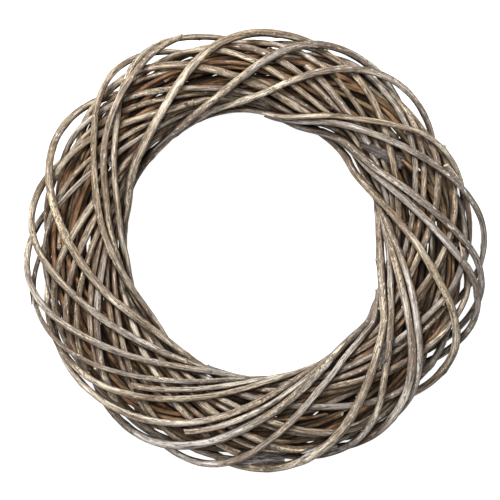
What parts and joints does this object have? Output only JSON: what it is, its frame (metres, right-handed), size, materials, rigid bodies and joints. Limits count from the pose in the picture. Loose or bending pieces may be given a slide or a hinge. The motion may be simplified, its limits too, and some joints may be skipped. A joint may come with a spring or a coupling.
{
  "type": "willow wreath",
  "caption": "Round wreath of grey-washed willow rods, wound both ways round a core of brown twigs, lying flat with an open middle.",
  "frame": {"origin": "middle of the outline seen from above, on the surface that the wreath lies on", "axes": "+Z along the axis of the ring, out of the face that the picture shows; +X to the right and +Y to the top of the picture"},
  "size_m": [0.4114, 0.393, 0.0873],
  "materials": {
    "washed_rod": "dry willow bark with a thin grey wash, worn through to cream in places",
    "core_twig": "bare red-brown willow bark, matt"
  },
  "bodies": {
    "root": {"core_twig_01": "core_twig", "core_twig_02": "core_twig", "core_twig_03": "core_twig", "core_twig_04": "core_twig", "core_twig_05": "core_twig", "core_twig_06": "core_twig", "core_twig_07": "core_twig", "core_twig_08": "core_twig", "core_twig_09": "core_twig", "core_twig_10": "core_twig", "core_twig_11": "core_twig", "core_twig_12": "core_twig", "core_twig_13": "core_twig", "core_twig_14": "core_twig", "core_twig_15": "core_twig", "core_twig_16": "core_twig", "core_twig_17": "core_twig", "core_twig_18": "core_twig", "core_twig_19": "core_twig", "core_twig_20": "core_twig", "deep_rod_01": "washed_rod", "deep_rod_02": "washed_rod", "deep_rod_03": "washed_rod", "deep_rod_04": "washed_rod", "deep_rod_05": "washed_rod", "deep_rod_06": "washed_rod", "deep_rod_07": "washed_rod", "over_rod_01": "washed_rod", "over_rod_02": "washed_rod", "over_rod_03": "washed_rod", "over_rod_04": "washed_rod", "over_rod_05": "washed_rod", "over_rod_06": "washed_rod", "over_rod_07": "washed_rod", "over_rod_08": "washed_rod", "over_rod_09": "washed_rod", "over_rod_10": "washed_rod", "over_rod_11": "washed_rod", "over_rod_12": "washed_rod", "over_rod_13": "washed_rod", "over_rod_14": "washed_rod", "short_rod_01": "washed_rod", "short_rod_02": "washed_rod", "under_rod_02": "washed_rod", "under_rod_03": "washed_rod", "under_rod_04": "washed_rod", "under_rod_05": "washed_rod", "under_rod_06": "washed_rod", "under_rod_07": "washed_rod", "under_rod_08": "washed_rod", "under_rod_09": "washed_rod", "under_rod_10": "washed_rod"}
  },
  "joints": []
}
